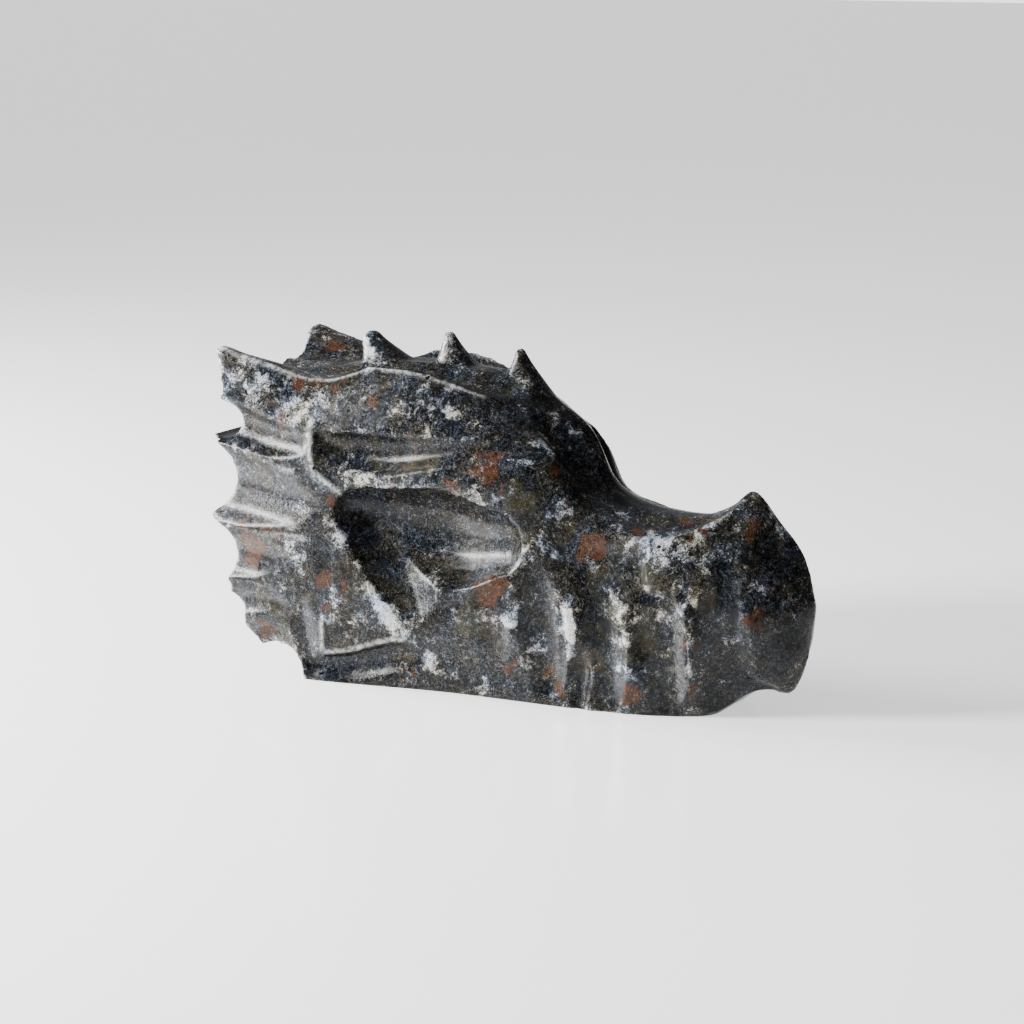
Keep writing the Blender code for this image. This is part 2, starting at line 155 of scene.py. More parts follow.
# Thorns on the crown: the foot and the tip as (x, height), and the radius at each.
CROWN_THORNS = {
    "rear_thorn": ((-29.7, 54), (-35.2, 68.7), 11.6, 2.3),
    "middle_thorn": ((-15.2, 54), (-17.3, 69.6), 10.7, 1.4),
    "front_thorn": ((-0.3, 53.5), (-1.3, 67.3), 9.2, 1.2),
}

# The scalloped rear edge: round bars right across the block, as (x, height, radius).
REAR_SCALLOPS = {
    "horn_back": (-73.2, 58, 14.6),
    "under_horn": (-59.2, 51.3, 3.9),
    "between_spikes": (-65.4, 39.9, 8.6),
    "under_lower_spike": (-63.5, 23.6, 7.6),
    "rim_end": (-67.2, 17.5, 10),
    "neck_upper": (-58.4, 11, 5),
    "neck_rear": (-58.2, 2.6, 8.6),
    "neck_foot": (-46.4, 0.2, 6.6),
}

# Flutes ground into the near side, and mirrored to the far side. A flute is a list of
# (x, height, wheel radius, depth of cut) along the way that the wheel moved.
FLUTES = {
    "under_horn": [
        (-66, 51.6, 5.2, 3), (-56, 50.6, 5.2, 2.7), (-48, 48.8, 5, 2), (-41, 47.8, 4.6, 0.8),
        (-37, 47, 4.2, -0.3),
    ],
    "between_spikes": [
        (-68, 38.4, 13, 4), (-56, 37.9, 13, 3), (-46, 36.6, 13, 1.6), (-38, 35.8, 13, 0.5),
        (-33, 35, 13, -0.4),
    ],
    "under_spike": [
        (-68, 25, 10, 3), (-56, 24.6, 10, 1.8), (-48, 24.4, 10, 0.9), (-41, 24, 10, 0.2),
        (-37, 24, 10, -0.4),
    ],
    "rim_groove": [(-62, 15.4, 6, 1.4), (-55, 15.4, 6, 1.2), (-47, 15.6, 6, 0.6), (-42, 15.6, 6, -0.3)],
    "rim_groove_low": [(-50, 6.6, 3.4, 0.9), (-45, 8, 3.4, 0.9), (-42.5, 5, 3, 0.7)],
    "hinge_hollow": [
        (-39.6, 19, 6, -0.2), (-39.2, 12, 6, 0.7), (-38.6, 6, 5, 0.9), (-37.4, 2, 4, 0.5),
    ],
    "jaw_line": [
        (-37, 3, 3, 1), (-33, 3.2, 4.4, 1.3), (-28.5, 4.2, 5, 1.3), (-24, 5.6, 5, 1.3),
        (-19, 6.7, 5, 1.2), (-13, 7.4, 5, 1), (-7, 8, 5, 0.8), (-2, 9.8, 5, 0.6),
        (4, 11, 5, 0.4), (9, 11, 5, 0.1), (13, 10, 5, -0.3),
    ],
    "eye_socket": [(-24, 34, 7, 6.2), (-14, 32, 10.2, 7.4), (-6, 31.2, 10.4, 6.8), (2, 31.4, 8, 4)],
    "socket_top_corner": [(-28.6, 36.4, 2.8, 3.2), (-24, 35.6, 4, 4.6)],
    "socket_edge": [
        (-27.4, 35, 5, 5.2), (-22.8, 31.4, 7, 5.8), (-18.8, 27, 8.6, 5), (-15.8, 22.6, 9.6, 3.2),
        (-13.8, 18.6, 10, 1.3), (-12.4, 15.4, 10, -0.2),
    ],
    "cheek_hollow": [(-14, 17, 9, -0.2), (-8, 18.4, 9, 0.6), (0, 19.8, 9, 0.6), (7, 21.4, 9, -0.2)],
    "horn_groove": [
        (-38, 51, 1.6, 0.2), (-35, 49.2, 2.4, 1.6), (-32, 47.8, 3.6, 2.7), (-27, 47.2, 4.2, 3.2),
        (-21, 47.2, 4.2, 2.9), (-13, 48, 3.8, 1.8), (-4, 49, 3.2, 1.1), (6, 49.3, 2.6, 0.8),
        (12, 48, 2.2, 0.6),
    ],
    "muzzle_hollow": [
        (18, 31.5, 13, -0.3), (25, 30.6, 14, 0.6), (31, 29.6, 14, 0.9), (38, 29.4, 13, 1),
        (43, 31, 8, 0.8), (46.4, 35, 4, 0.2),
    ],
    "lip_recess": [
        (42.6, 2.2, 2.4, 0.4), (46.5, 5.4, 3, 1.5), (51, 6.4, 3, 1.7), (54.6, 5.2, 2.4, 1),
    ],
}

# Hollows between the teeth, as (top x, bottom x, top height, bottom height, radius, depth).
TOOTH_HOLLOWS = [
    (3.2, 2.4, 22, 9, 8, 0.9),
    (11.6, 13.6, 30, 5, 7, 2.4),
    (20.9, 19.8, 14, 1, 2.8, 2.0),
    (24.2, 26.4, 27, 2, 7, 2.4),
    (28.2, 27.2, 19, 6, 2.6, 1.6),
    (33.8, 33.4, 22, 10, 2.8, 1.7),
    (37.2, 38.8, 27, 3, 6.6, 2.4),
    (45.8, 47.0, 28, 10, 3.2, 2.2),
    (49.8, 50.8, 31, 7, 8, 1.6),
]

# Cuts along the top of the skull, as (x, y, height, radius).
FREE_CUTS = {
    "forehead_flute": [
        (3.6, -9, 61.6, 3.2), (7, -8.7, 58.8, 3.9), (11, -8, 55.2, 4.6), (15.2, -7.2, 50, 4.6),
        (17.9, -6.6, 46.5, 4.4), (19.4, -6.4, 44.2, 4.2), (22.4, -6.2, 42.4, 4),
        (27, -6, 41.6, 3.6),
    ],
    "crown_valley": [
        (-70, -7, 68.6, 8), (-57, -7.4, 68, 7.9), (-49, -8.2, 67.3, 7.6), (-40, -8.7, 66.4, 6.5),
        (-32, -8.5, 66, 5.6), (-22, -8.3, 65.8, 5.5), (-12, -8, 65.2, 5.3), (-4, -8, 63.6, 4.8),
        (2, -7.6, 62, 4),
    ],
}
NECK_HOLLOW = [(-66, 0, 8, 11), (-67, 0, 24, 15), (-67.5, 0, 38, 14)]


def scaled(points):
    return [Vector(p) * MM for p in points]


def slope(left, here, right, axis):
    """The slope of a rail at a point, flat where the rail turns so that it never overshoots."""
    before = (here[axis] - left[axis]) / (here[0] - left[0])
    after = (right[axis] - here[axis]) / (right[0] - here[0])
    if before * after <= 0:
        return 0.0
    return 2 * before * after / (before + after)


def rail_at(rail, x):
    """The rail's (out, height) at x, by a cubic between the two points beside it."""
    last = len(rail) - 1
    i = max(k for k in range(last) if rail[k][0] <= x or k == 0)
    a, b = rail[i], rail[i + 1]
    width = b[0] - a[0]
    t = min(max((x - a[0]) / width, 0.0), 1.0)
    found = []
    for axis in (1, 2):
        straight = (b[axis] - a[axis]) / width
        start = slope(rail[i - 1], a, b, axis) if i > 0 else straight
        end = slope(a, b, rail[i + 2], axis) if i + 1 < last else straight
        found.append(
            a[axis] * (1 + 2 * t) * (1 - t) ** 2
            + b[axis] * t * t * (3 - 2 * t)
            + width * t * (1 - t) * (start * (1 - t) - end * t)
        )
    return found


def catmull(p, q, r, s, t):
    bend = (2 * p - 5 * q + 4 * r - s) * t * t + (3 * q - p - 3 * r + s) * t**3
    return 0.5 * (2 * q + (r - p) * t + bend)


def half_section(x):
    """The block's outline at x as (out, height): curved up to the crest, then straight to the crown."""
    knots = [Vector(rail_at(rail, x)) for rail in RAILS.values()]
    crest, crown = knots[-2:]
    below = Vector((-knots[1].x, knots[1].y))
    chain = [below, *knots[:-1], crest * 2 - knots[-3]]
    half = []
    for i in range(1, len(chain) - 2):
        for step in range(SECTION_STEPS):
            half.append(catmull(*chain[i - 1 : i + 3], step / SECTION_STEPS))
    half += [crest.lerp(crown, step / SECTION_STEPS) for step in range(SECTION_STEPS)]
    return [*half, crown]


def section(x):
    """The closed outline of the block at x, up the near side and down the far side."""
    half = half_section(x)
    near = [(x, -p.x, p.y) for p in half]
    far = [(x, p.x, p.y) for p in reversed(half[1:-1])]
    return scaled(near + far)


def side_point(x, height):
    """Where the block's near side has this height, and which way it faces there."""
    half = half_section(min(max(x, REAR_X), FRONT_X))
    for a, b in zip(half, half[1:]):
        if a.y <= height <= b.y:
            here = a.lerp(b, (height - a.y) / max(b.y - a.y, 1e-6))
            along = (b - a).normalized()
            return Vector((x, -here.x, height)), Vector((0, -along.y, -along.x))
    return Vector((x, -half[1].x, height)), Vector((0, -1, 0))


def flute_path(flute):
    """The wheel's centre and radius along a flute: as deep in the block's side as the flute asks."""
    path = []
    for x, height, radius, depth in flute:
        point, outward = side_point(x, height)
        centre = point + outward * (radius - depth)
        path.append((*centre, radius))
    return path


def link(obj, collection):
    collection.objects.link(obj)
    return obj


def block(collection):
    """The skull's outline as one closed loft of sections along X."""
    count = round((FRONT_X - REAR_X) / STATION_STEP)
    stations = [REAR_X + (FRONT_X - REAR_X) * i / count for i in range(count + 1)]
    rings = [section(x) for x in stations]
    size = len(rings[0])
    points = [p for ring in rings for p in ring]
    faces = [tuple(reversed(range(size)))]
    for r in range(count):
        a, b = r * size, (r + 1) * size
        for k in range(size):
            n = (k + 1) % size
            faces.append((a + k, a + n, b + n, b + k))
    faces.append(tuple(count * size + k for k in range(size)))
    mesh = bpy.data.meshes.new(OBJECT_NAME)
    mesh.from_pydata(points, [], faces)
    return link(bpy.data.objects.new(OBJECT_NAME, mesh), collection)


def rounded_path(path):
    """A smooth path through the points, its radius running down to nearly nothing at both ends."""
    knots = [path[0], *path, path[-1]]
    smooth = []
    for i in range(1, len(knots) - 2):
        last = i == len(knots) - 3
        for step in range(PATH_STEPS + last):
            near = knots[i - 1 : i + 3]
            smooth.append(tuple(catmull(*values, step / PATH_STEPS) for values in zip(*near)))
    return cap(smooth[0], smooth[1])[::-1] + smooth + cap(smooth[-1], smooth[-2])


def cap(end, inner):
    """The points that round off one end of a path."""
    direction = (Vector(end[:3]) - Vector(inner[:3])).normalized()
    made = []
    for k in range(1, CAP_STEPS + 1):
        angle = CAP_ANGLE * k / CAP_STEPS
        centre = Vector(end[:3]) + direction * end[3] * math.sin(angle)
        made.append((*centre, end[3] * math.cos(angle)))
    return made


def tube(name, path, collection):
    """A round bar with rounded ends through (x, y, z, radius) points, as a closed mesh."""
    curve = bpy.data.curves.new(name, "CURVE")
    curve.dimensions = "3D"
    curve.bevel_depth = MM
    curve.bevel_resolution = TUBE_SIDES_QUARTER
    curve.use_fill_caps = True
    spline = curve.splines.new("POLY")
    points = rounded_path(path)
    spline.points.add(len(points) - 1)
    for point, (x, y, z, radius) in zip(spline.points, points):
        point.co = (x * MM, y * MM, z * MM, 1)
        point.radius = radius
    guide = bpy.data.objects.new(name, curve)
    bpy.context.scene.collection.objects.link(guide)
    bpy.context.view_layer.update()
    graph = bpy.context.evaluated_depsgraph_get()
    mesh = bpy.data.meshes.new_from_object(guide.evaluated_get(graph))
    bpy.data.objects.remove(guide)
    close_mesh(mesh)
    return link(bpy.data.objects.new(name, mesh), collection)


def close_mesh(mesh):
    shape = bmesh.new()
    shape.from_mesh(mesh)
    bmesh.ops.remove_doubles(shape, verts=shape.verts, dist=WELD_DISTANCE * MM)
    bmesh.ops.recalc_face_normals(shape, faces=shape.faces)
    shape.to_mesh(mesh)
    shape.free()


def both_sides(name, path, collection):
    tube(name + "_near", path, collection)
    tube(name + "_far", [(x, -y, z, radius) for x, y, z, radius in path], collection)


def thorn_path(foot, tip, foot_radius, tip_radius):
    """A thorn that flares towards its foot and leans back."""
    path = []
    for k in range(THORN_STEPS + 1):
        t = k / THORN_STEPS
        x = foot[0] + (tip[0] - foot[0]) * t**THORN_LEAN
        z = foot[1] + (tip[1] - foot[1] - tip_radius) * t
        radius = tip_radius + (foot_radius - tip_radius) * (1 - t) ** THORN_FLARE
        path.append((x, 0.0, z, radius))
    return path


def helpers(name, parent):
    made = bpy.data.collections.new(name)
    parent.children.link(made)
    return made


def saw_slab(collection):
    """The slab of stone that the saw takes off below the base."""
    bpy.ops.mesh.primitive_cube_add(size=1, location=(0, 0, -SLAB_THICKNESS / 2 * MM))
    slab = bpy.context.object
    slab.name = "saw_slab"
    slab.dimensions = (SLAB_LENGTH * MM, SLAB_WIDTH * MM, SLAB_THICKNESS * MM)
    slab.hide_render = True
    slab.display_type = "WIRE"
    for home in list(slab.users_collection):
        home.objects.unlink(slab)
    link(slab, collection)


def boolean(target, name, operation, collection):
    modifier = target.modifiers.new(name, "BOOLEAN")
    modifier.operation = operation
    modifier.solver = "EXACT"
    modifier.operand_type = "COLLECTION"
    modifier.collection = collection


# The finer surface for the picture, with the carver's thin ridges. A ridge is a list of
# (x, height, bar radius, how far it stands out of the block's side).
FINE_VOXEL = 0.55
FINE_POLISH_FACTOR = 0.5
FINE_POLISH_PASSES = 5
FINE_RIDGES = {
    "knot": [
        (-38.2, 52.5, 1.6, 0.1), (-37.7, 46.7, 1.5, 0.6), (-36.6, 42.9, 1.4, 0.6),
        (-33.6, 40.8, 1.3, 0.4), (-31, 39.2, 1.2, 0.1),
    ],
    "second_line": [
        (-58.5, 47.6, 1, 0.3), (-54.1, 45.3, 1.2, 0.45), (-49.9, 44.3, 1.2, 0.45),
        (-46.1, 43, 1.1, 0.35), (-41.6, 42.4, 1, 0.1),
    ],
    "third_line": [
        (-60, 30.7, 1, 0.3), (-54.2, 29, 1.2, 0.45), (-48.9, 29.1, 1.1, 0.4),
        (-41.5, 29.4, 1, 0.3), (-39, 29.1, 1, 0.1),
    ],
    "plate_edge": [(-35, 12.6, 1, 0.2), (-35, 9, 1, 0.45), (-35.1, 6.2, 1, 0.3)],
    "mouth_edge": [
        (-35, 6.1, 1, 0.3), (-29.7, 7, 1, 0.35), (-24.8, 8.7, 1, 0.35), (-20.9, 9.9, 1, 0.3),
        (-17.5, 10.4, 1, 0.1),
    ],
    "nose_fold": [
        (21, 37.6, 1.4, 0.1), (24.5, 36.2, 1.4, 0.4), (30.3, 33.9, 1.4, 0.45),
        (37.1, 34, 1.4, 0.45), (40.4, 35.6, 1.3, 0.4), (44.5, 38, 1.2, 0.2),
    ],
}

# The ridges that stand out of the stone, and the pale lines painted as a highlight: along ridges, and
# along other edges as (x, y, height).
RAISED_RIDGES = ("knot", "plate_edge", "mouth_edge", "nose_fold")
HIGHLIGHTED_RIDGES = ("knot", "second_line", "third_line", "plate_edge", "mouth_edge")
RIDGE_HIGHLIGHT_LINES = [
    [
        (-60, -19.2, 65.8), (-52, -18.9, 63.9), (-44, -17.5, 61.5), (-40, -16.5, 60.5), (-36, -15.5, 60.5),
        (-32, -14.6, 61.6), (-28, -13.6, 63.4), (-20, -13.5, 63), (-12, -12.5, 61.5), (-4, -10.4, 58.9),
    ],
    [(-30.0, -21.2, 33.0), (-27.4, -21.0, 29.0), (-23.4, -20.6, 24.4), (-20.4, -20.4, 21.6)],
]

# Places chosen in the picture, as (pixels from its left side, pixels from its top, radius in
# pixels, strength). Brown, olive and black spots are the stone's own colours; the white spots are pale
# stone and painted sheen; the dark spots are painted shade and dark stone.
BROWN_SPOTS = [
    (489, 590, 15, 1.0), (590, 546, 15, 0.8), (485, 467, 15, 0.75), (496, 458, 10, 0.7),
    (555, 475, 10, 0.8), (411, 440, 8, 0.7), (375, 401, 9, 0.5), (283, 419, 10, 0.9),
    (391, 486, 8, 0.6), (449, 487, 9, 0.6), (333, 498, 9, 0.6), (283, 464, 8, 0.4),
    (238, 526, 7, 0.8), (276, 532, 9, 0.8), (264, 530, 7, 0.7), (253, 547, 18, 0.7),
    (255, 429, 9, 0.4), (300, 384, 7, 0.7), (316, 385, 7, 0.7), (332, 384, 7, 0.7),
    (347, 383, 7, 0.6), (325, 578, 12, 0.8), (341, 588, 8, 0.7), (329, 608, 8, 0.8),
    (368, 611, 7, 0.5), (268, 630, 13, 0.7), (412, 672, 8, 0.7), (510, 665, 7, 0.9),
    (549, 669, 6, 0.8), (560, 689, 11, 0.9), (629, 696, 13, 0.9), (692, 690, 7, 1.0),
    (640, 534, 12, 0.6), (618, 545, 8, 0.4), (684, 521, 8, 0.7), (699, 522, 8, 0.7),
    (690, 538, 6, 0.8), (706, 538, 6, 0.8), (754, 526, 11, 0.7), (752, 620, 9, 0.9),
    (800, 607, 9, 0.5), (687, 648, 9, 0.6), (528, 404, 6, 0.5), (337, 345, 14, 0.5),
    (388, 357, 10, 0.35), (500, 487, 8, 0.5), (566, 498, 7, 0.4),
]
OLIVE_SPOTS = [
    (414, 469, 12, 1.0), (430, 463, 10, 0.8), (520, 500, 12, 0.6), (600, 580, 14, 0.8),
    (650, 580, 12, 0.8), (640, 640, 12, 0.8), (590, 660, 12, 0.7), (700, 600, 10, 0.7),
    (470, 560, 14, 0.5), (470, 625, 14, 0.6),
]
# White spots: pale stone, and painted sheen and highlights on the horn band, the brow, the muzzle and the
# teeth.
WHITE_AND_SHEEN_SPOTS = [
    (235, 375, 12, 0.8), (258, 392, 14, 0.9), (285, 405, 14, 0.9), (310, 412, 12, 0.8),
    (325, 445, 9, 0.9), (345, 460, 10, 1.0), (362, 470, 9, 0.8), (425, 478, 9, 0.6),
    (402, 410, 10, 0.5), (451, 416, 10, 0.6), (466, 438, 8, 0.6), (556, 435, 13, 0.8),
    (325, 518, 12, 0.9), (338, 540, 10, 0.9), (355, 566, 10, 1.0), (372, 592, 10, 1.0),
    (388, 616, 11, 1.0), (398, 636, 9, 0.9), (384, 606, 10, 0.8), (300, 510, 12, 0.6),
    (300, 545, 12, 0.6), (340, 600, 8, 0.5), (350, 630, 12, 0.5), (425, 662, 11, 1.0),
    (440, 673, 9, 0.9), (458, 680, 9, 0.8), (476, 682, 9, 0.7), (400, 655, 9, 0.5),
    (518, 606, 13, 1.0), (512, 622, 9, 0.8), (535, 640, 11, 0.9), (562, 612, 13, 1.0),
    (567, 632, 13, 1.0), (572, 655, 9, 0.9), (548, 655, 8, 0.5), (608, 600, 11, 0.9),
    (616, 624, 13, 1.0), (626, 640, 8, 0.8), (620, 662, 9, 0.6), (660, 615, 10, 0.8),
    (664, 655, 10, 0.8), (676, 640, 7, 0.6), (690, 675, 9, 0.6), (569, 508, 12, 0.9),
    (545, 520, 10, 0.7), (525, 548, 10, 0.7), (552, 545, 10, 0.7), (500, 560, 8, 0.6),
    (590, 505, 9, 0.6), (620, 515, 9, 0.5), (660, 560, 12, 0.7), (685, 555, 14, 0.8),
    (705, 560, 12, 0.7), (640, 570, 10, 0.5), (735, 562, 9, 0.8), (750, 578, 9, 0.8),
    (762, 592, 8, 0.7), (730, 640, 9, 0.5), (770, 640, 8, 0.4), (265, 490, 9, 0.4),
    (240, 600, 9, 0.6), (260, 602, 10, 0.6), (250, 590, 9, 0.5), (290, 440, 9, 0.6),
    (305, 470, 8, 0.7), (322, 480, 7, 0.6), (334, 452, 8, 1.0), (344, 466, 8, 1.0),
    (356, 473, 8, 1.0), (370, 476, 9, 1.0), (386, 479, 8, 0.8), (402, 481, 8, 0.7),
    (650, 548, 10, 0.7), (668, 548, 10, 0.8), (684, 560, 10, 0.8), (684, 580, 9, 0.8),
    (686, 600, 9, 0.8), (380, 384, 12, 0.5), (430, 400, 12, 0.5), (350, 395, 10, 0.5),
    (300, 420, 10, 0.6), (470, 455, 9, 0.5), (545, 450, 9, 0.5), (260, 410, 10, 0.6),
    (655, 560, 12, 0.5), (672, 570, 12, 0.5), (660, 585, 10, 0.4), (290, 395, 14, 0.4),
    (330, 400, 14, 0.4), (365, 400, 12, 0.4),
]
# Dark spots: painted shade under the horn, in the eye socket, in the crown valley, on the rear plates and on
# the turned-away side of the beak, and some dark stone.
DARK_STONE_AND_SHADE_SPOTS = [
    (360, 450, 10, 1.0), (378, 455, 10, 1.0), (398, 452, 9, 0.9), (350, 420, 8, 0.6),
    (385, 395, 8, 0.5), (235, 480, 14, 0.8), (320, 560, 12, 0.8), (345, 575, 10, 0.8),
    (530, 580, 11, 0.8), (578, 575, 10, 0.8), (590, 600, 8, 0.9), (640, 600, 9, 0.9),
    (690, 620, 9, 0.8), (600, 640, 9, 0.8), (480, 640, 12, 0.6), (430, 620, 12, 0.6),
    (420, 590, 14, 0.6), (455, 575, 14, 0.7), (720, 600, 12, 0.7), (790, 640, 16, 0.8),
    (790, 560, 16, 0.8), (770, 540, 12, 0.7), (640, 665, 9, 0.8), (610, 690, 10, 0.7),
    (540, 690, 10, 0.7), (520, 430, 12, 0.6), (500, 400, 14, 0.6), (580, 450, 14, 0.6),
    (340, 680, 12, 0.6), (310, 665, 10, 0.6), (360, 372, 10, 0.9), (378, 376, 8, 0.7),
    (405, 372, 9, 0.8), (425, 374, 10, 0.9), (445, 372, 9, 0.9), (465, 378, 10, 0.8),
    (490, 376, 10, 0.8), (505, 388, 10, 0.7), (540, 405, 10, 0.6), (565, 415, 9, 0.7),
    (590, 430, 10, 0.8), (605, 450, 9, 0.8), (600, 470, 10, 0.8), (620, 500, 10, 0.6),
    (640, 512, 9, 0.5), (355, 500, 10, 0.9), (360, 520, 11, 1.0), (375, 540, 11, 1.0),
    (390, 560, 11, 0.9), (400, 580, 10, 0.8), (380, 505, 11, 0.8), (410, 500, 11, 0.5),
    (245, 440, 9, 0.6), (262, 455, 8, 0.5), (228, 470, 10, 0.8), (240, 505, 10, 0.5),
    (235, 548, 12, 0.5), (262, 565, 12, 0.6), (275, 600, 12, 0.6), (245, 575, 10, 0.6),
    (262, 500, 9, 0.4),
]
BLACK_SPOTS = [
    (558, 547, 5, 1.0), (735, 618, 6, 1.0), (420, 459, 4, 0.9), (398, 470, 3, 0.9),
    (462, 474, 3, 0.8), (740, 560, 5, 0.8), (641, 556, 4, 0.8), (603, 627, 4, 0.8),
]

# How the outlines of the spots wander: where the noise of each axis is taken, and the size and
# reach of its wide and its narrow bends.
WANDER_APART = ((0, 0, 0), (31, 7, 3), (5, 19, 43))
WIDE_BEND = 3.1
WIDE_REACH = 2.2
NARROW_BEND = 1.1
NARROW_REACH = 0.9
SPOT_FADE = 1.5

# Edges and grooves, painted lighter and darker as light and shade: how many times the surface is evened
# out to find them, and the weight of a millimetre of relief. LINE_WIDTH is that of the painted highlight
# lines.
LINE_WIDTH = 0.38
EDGE_PASSES = 8
EDGE_GAIN = 1.6
FORM_PASSES = 60
FORM_GAIN = 0.3

# The stone's noises, as how many times each repeats over a millimetre.
CLOUD_SCALE = 0.10
PATCH_SCALE = 0.42
MOTTLE_SCALE = 0.8
COARSE_SCALE = 1.3
GRAIN_SCALE = 1.9
FINE_SCALE = 4.2
DUST_SCALE = 4.2
CRYSTAL_SCALE = 0.30
DOT_SCALE = 0.42
SPECKLE_RANGE = (0.34, 0.66)
JUMBLE_DETAIL = 4

# The pale grains: what the noises have to outweigh, and the most that the clouds add.
PALE_BASE = -1.83
PALE_MOST = 0.46

# The polish.
STONE_IOR = 1.5
BUMP_STRENGTH = 0.25
BUMP_HEIGHT = 0.00010

# The stone's colours.
GROUND_DARK = (0.0006, 0.0007, 0.0007, 1)
GROUND_MIDDLE = (0.0028, 0.0031, 0.0034, 1)
GROUND_PALE = (0.013, 0.0145, 0.0165, 1)
OLIVE_DARK = (0.002, 0.002, 0.0012, 1)
OLIVE_PALE = (0.030, 0.026, 0.012, 1)
HAZE_DARK = (0.045, 0.046, 0.050, 1)
HAZE_PALE = (0.17, 0.166, 0.178, 1)
GREY = (0.060, 0.062, 0.068, 1)
COOL_TINT = (0.84, 0.97, 1.20, 1)
WARM_TINT = (1.18, 1.03, 0.76, 1)
BROWN_DARK = (0.005, 0.003, 0.0022, 1)
BROWN_PALE = (0.066, 0.026, 0.010, 1)
COOL_WHITE = (0.42, 0.455, 0.50, 1)
WARM_WHITE = (0.47, 0.46, 0.42, 1)
VEIN_COLOUR = (0.3, 0.31, 0.32, 1)
# Painted highlight colour of the ridge lines.
RIDGE_HIGHLIGHT_COLOUR = (0.40, 0.40, 0.39, 1)
# Painted shade tint of the dark spots, which also hold some dark stone.
DARK_AND_SHADE_TINT = (0.34, 0.38, 0.42, 1)
BLACK = (0.004, 0.004, 0.005, 1)
PLAIN = (1, 1, 1, 1)

# The thin pale veins, as (where the noise is taken, its scale, the vein's width, its stretch).
VEINS = (
    ((3, 8, 60), 0.5, 0.010, (1, 1, 0.45)),
    ((50, 2, 11), 0.8, 0.010, (0.5, 1, 1)),
    ((5, 61, 21), 0.3, 0.006, (1, 0.6, 1)),
)

# The camera, as in the picture: degrees round from the side, degrees up, distance and aim.
CAMERA_ROUND = 28.0
CAMERA_UP = 11.5
CAMERA_DISTANCE = 600.0
CAMERA_AIM = (-3.3, 0.0, 34.0)
CAMERA_SENSOR = 36.0
PIXELS_PER_MM = 5.0
PICTURE_SIDE = 1024.0
NEAREST_SEEN = 0.01
FARTHEST_SEEN = 20

# The soft light of the room: white walls behind and to the left, a darker room to the right.
# The light fades between BRIGHT_FROM and DARK_FROM, measured along BRIGHT_SIDE.
WALL_COLOUR = (0.96, 0.975, 1.0, 1)
BRIGHT_SIDE = (-0.86, -0.10, 0.50)
BRIGHT_FROM = 0.55
DARK_FROM = -0.45
BRIGHT_SIDE_STRENGTH = 0.42
DARK_SIDE_STRENGTH = 0.05
WALL_STRENGTH = 2.3
FLOOR_SIDE = 8
FLOOR_COLOUR = (0.80, 0.80, 0.79, 1)
FLOOR_ROUGHNESS = 0.16
FLOOR_GLOW = 0.9

# The lights, as (place, width, height, watts), and the place that they face.
LIGHTS = {
    "key_light": ((-430, -330, 230), 140, 140, 15.5),
    "window": ((-600, -40, 170), 160, 260, 15),
}
LIGHT_AIM = (0, 0, 30)


def ridge_path(ridge):
    """The middle and radius of a bar that stands out of the block's side by as much as the ridge asks."""
    path = []
    for x, height, radius, rise in ridge:
        point, outward = side_point(x, height)
        path.append((*(point - outward * (radius - rise)), radius))
    return path


def ridge_top(ridge):
    """The line along the top of a ridge."""
    line = []
    for x, height, _, rise in ridge:
        point, outward = side_point(x, height)
        line.append(tuple(point + outward * rise))
    return line


def sculpt():
    """The carved and polished skull as one fine mesh."""
    scene = bpy.context.scene.collection
    saw = helpers("saw", scene)
    saw_slab(saw)
    skull = block(scene)
    thorns = helpers("thorns", scene)
    cuts = helpers("cuts", scene)
    for name, shape in CROWN_THORNS.items():
        tube(name, thorn_path(*shape), thorns)
    ridges = helpers("ridges", scene)
    for name in RAISED_RIDGES:
        both_sides(name + "_ridge", ridge_path(FINE_RIDGES[name]), ridges)
    for name, (x, height, radius) in REAR_SCALLOPS.items():
        bar = [(x, -SCALLOP_END_Y, height, radius), (x, SCALLOP_END_Y, height, radius)]
        tube(name + "_scallop", bar, cuts)
    for name, flute in FLUTES.items():
        both_sides(name + "_flute", flute_path(flute), cuts)
    for index, (top_x, low_x, top, low, radius, depth) in enumerate(TOOTH_HOLLOWS):
        groove = [
            (top_x, top, radius * TOOTH_TOP_RADIUS, depth * TOOTH_TOP_DEPTH),
            ((top_x + low_x) / 2, (top + low) / 2, radius, depth),
            (low_x, low, radius, depth * TOOTH_LOW_DEPTH),
        ]
        both_sides(f"tooth_hollow_{index}", flute_path(groove), cuts)
    for name, path in FREE_CUTS.items():
        both_sides(name, path, cuts)
    tube("neck_hollow", NECK_HOLLOW, cuts)
    boolean(skull, "thorns", "UNION", thorns)
    boolean(skull, "cuts", "DIFFERENCE", cuts)
    boolean(skull, "ridges", "UNION", ridges)
    remesh = skull.modifiers.new("even_surface", "REMESH")
    remesh.mode = "VOXEL"
    remesh.voxel_size = FINE_VOXEL * MM
    remesh.use_smooth_shade = True
    polish = skull.modifiers.new("polish", "SMOOTH")
    polish.factor = FINE_POLISH_FACTOR
    polish.iterations = FINE_POLISH_PASSES
    boolean(skull, "sawn_base", "DIFFERENCE", saw)
    graph = bpy.context.evaluated_depsgraph_get()
    mesh = bpy.data.meshes.new_from_object(skull.evaluated_get(graph))
    mesh.name = "stone_skull"
    for helper in [skull, *thorns.objects, *cuts.objects, *ridges.objects, *saw.objects]:
        bpy.data.objects.remove(helper)
    for collection in (thorns, cuts, ridges, saw):
        bpy.data.collections.remove(collection)
    mesh.materials.clear()
    mesh.shade_smooth()
    return link(bpy.data.objects.new("stone_skull", mesh), scene)


def camera_axes():
    """The directions from the aim to the camera, to the picture's right and to its top."""
    turn = math.radians(CAMERA_ROUND)
    rise = math.radians(CAMERA_UP)
    back = Vector((math.sin(turn) * math.cos(rise), -math.cos(turn) * math.cos(rise), math.sin(rise)))
    right = Vector((math.cos(turn), math.sin(turn), 0))
    return back, right, back.cross(right)


def camera_place():
    return Vector(CAMERA_AIM) + camera_axes()[0] * CAMERA_DISTANCE


